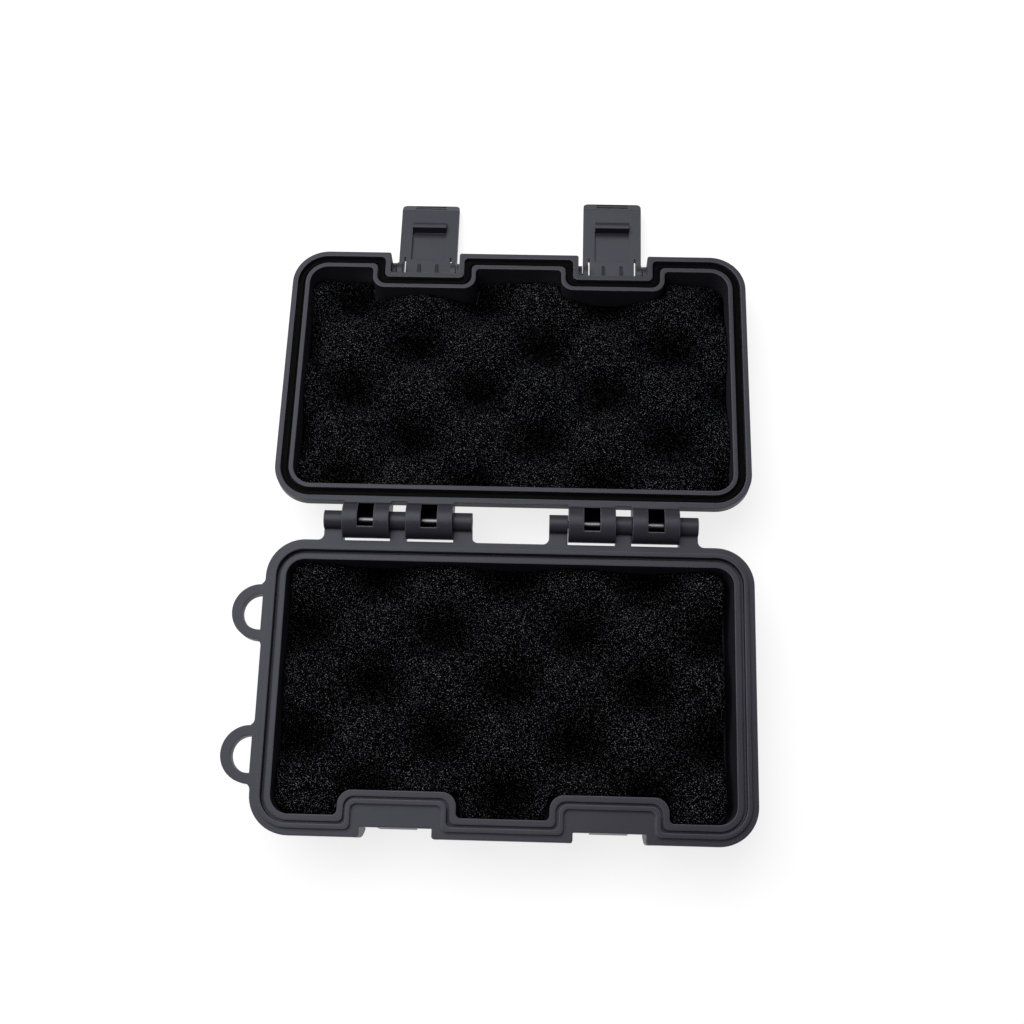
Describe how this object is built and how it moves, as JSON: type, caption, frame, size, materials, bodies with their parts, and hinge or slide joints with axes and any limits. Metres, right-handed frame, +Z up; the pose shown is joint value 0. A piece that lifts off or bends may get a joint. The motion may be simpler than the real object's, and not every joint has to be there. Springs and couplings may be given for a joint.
{
  "type": "magnetic key holder box",
  "caption": "Small dark grey hard case for hiding a key, lined with wavy black foam, with magnets flush in its underside, strap eyelets and hinged front latches, shown open",
  "frame": {"origin": "middle of the underside, where the case stands", "axes": "+Z up, +Y towards the hinges and the open lid, -Y towards the latches' side of the base, -X towards the strap eyelets"},
  "size_m": [0.1702, 0.2308, 0.0321],
  "materials": {
    "shell_plastic": "fine moulded texture, slightly satin, charcoal with a violet cast",
    "latch_plastic": "smoother satin moulding in the same charcoal as the case",
    "seal_rubber": "soft black rubber, slightly glossy",
    "foam_black": "open-cell foam cut in waves, very dull",
    "hinge_steel": "drawn rod with a black oxide skin",
    "pot_steel": "nickel-plated pressed steel",
    "magnet_nickel": "nickel-plated magnet, a little dull",
    "washer_rubber": "plain black rubber",
    "screw_steel": "stainless steel"
  },
  "bodies": {
    "base": {"base_shell": "shell_plastic", "base_foam": "foam_black", "left_hinge_pin": "hinge_steel", "right_hinge_pin": "hinge_steel", "front_left_pot": "pot_steel", "front_right_pot": "pot_steel", "back_left_pot": "pot_steel", "back_right_pot": "pot_steel", "front_left_magnet": "magnet_nickel", "front_right_magnet": "magnet_nickel", "back_left_magnet": "magnet_nickel", "back_right_magnet": "magnet_nickel", "rubber_washers": "washer_rubber", "magnet_screws": "screw_steel", "steel_washers": "screw_steel", "lock_nuts": "screw_steel"},
    "lid": {"lid_shell": "shell_plastic", "lid_seal": "seal_rubber", "lid_foam": "foam_black"},
    "left_latch_body": {"left_latch": "latch_plastic"},
    "right_latch_body": {"right_latch": "latch_plastic"}
  },
  "joints": [
    {"name": "lid_hinge", "type": "hinge", "parent": "base", "child": "lid", "pos_m": [0, 0.0545, 0.0261], "axis": [1, 0, 0], "range_deg": [0, 185.26]},
    {"name": "left_latch_hinge", "type": "hinge", "parent": "lid", "child": "left_latch_body", "pos_m": [-0.0334, 0.15147, 0.00933], "axis": [1, 0, 0], "range_deg": [-60, 91.36]},
    {"name": "right_latch_hinge", "type": "hinge", "parent": "lid", "child": "right_latch_body", "pos_m": [0.0334, 0.15147, 0.00933], "axis": [1, 0, 0], "range_deg": [-64.5, 86.86]}
  ]
}
